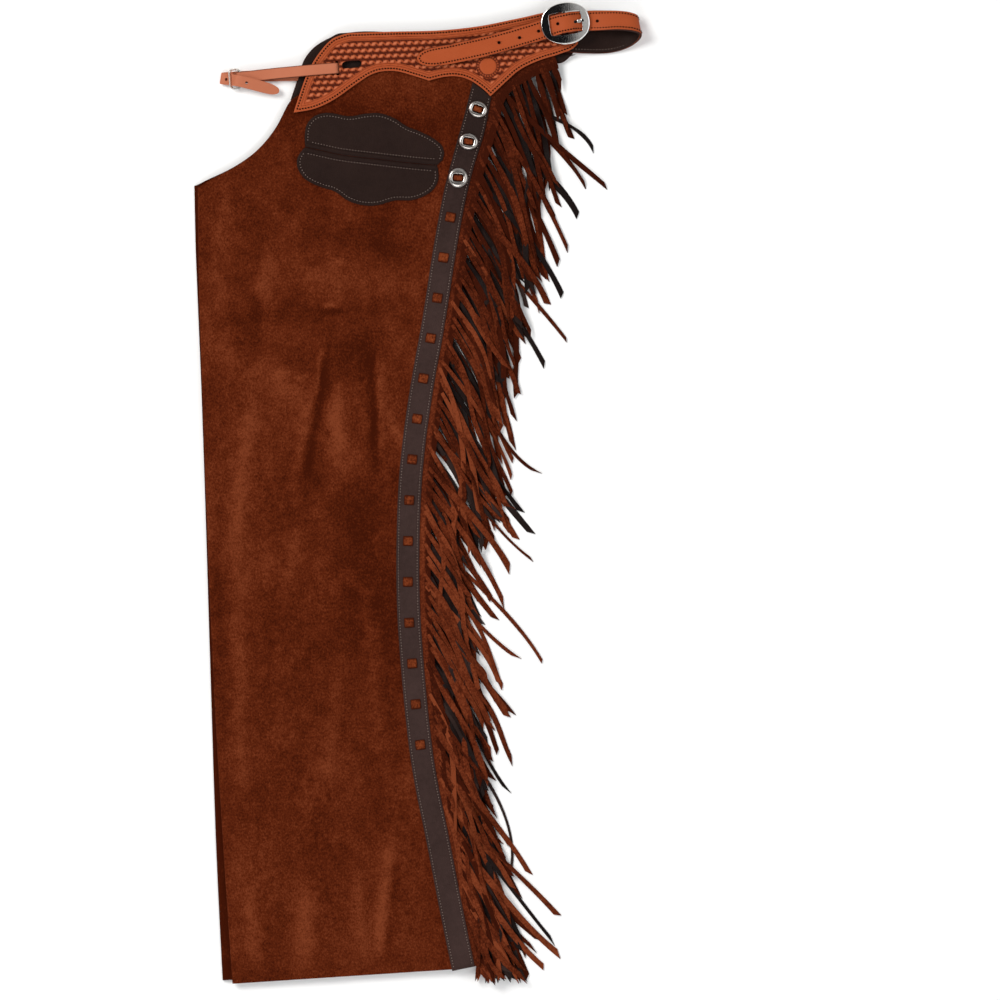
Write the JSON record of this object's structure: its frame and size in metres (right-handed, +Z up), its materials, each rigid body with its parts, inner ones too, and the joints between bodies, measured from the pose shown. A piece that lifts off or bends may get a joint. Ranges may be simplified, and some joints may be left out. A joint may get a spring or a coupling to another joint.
{
  "type": "fringed leather chaps laid flat",
  "caption": "Long suede chaps laid flat and folded double, with tooled yokes, side trim strips, lace, conchos, long cut fringe and a buckled waist belt.",
  "frame": {"origin": "on the surface that the garment lies on, under the middle of its bounding box", "axes": "+X from the inner leg towards the fringe, +Y from the hem to the waist, +Z up from the surface"},
  "size_m": [0.479, 1.048, 0.026],
  "materials": {
    "suede": "rust brown suede with a short nap",
    "dark_leather": "smooth dark brown grain leather",
    "tooled_leather": "tan vegetable-tanned leather, basketweave tooled, with a soft sheen",
    "nickel": "polished nickel plate"
  },
  "bodies": {
    "root": {"left_leg": "suede", "right_leg": "suede", "left_yoke": "tooled_leather", "right_yoke": "tooled_leather", "right_yoke_lining": "dark_leather", "left_trim": "dark_leather", "right_trim": "dark_leather", "pocket_upper": "dark_leather", "pocket_lower": "dark_leather", "left_fringe_suede": "suede", "left_fringe_smooth": "dark_leather", "right_fringe_suede": "suede", "right_fringe_smooth": "dark_leather", "belt": "tooled_leather", "belt_lining": "dark_leather", "belt_buckle": "nickel", "belt_prong": "nickel", "belt_chape": "tooled_leather", "front_strap_left": "tooled_leather", "front_strap_right": "tooled_leather", "front_buckle": "nickel", "concho_1": "nickel", "concho_2": "nickel", "concho_3": "nickel", "concho_lace_1": "suede", "concho_lace_2": "suede", "concho_lace_3": "suede", "lace_01": "suede", "lace_02": "suede", "lace_03": "suede", "lace_04": "suede", "lace_05": "suede", "lace_06": "suede", "lace_07": "suede", "lace_08": "suede", "lace_09": "suede", "lace_10": "suede", "lace_11": "suede", "lace_12": "suede", "lace_13": "suede", "lace_14": "suede"}
  },
  "joints": []
}
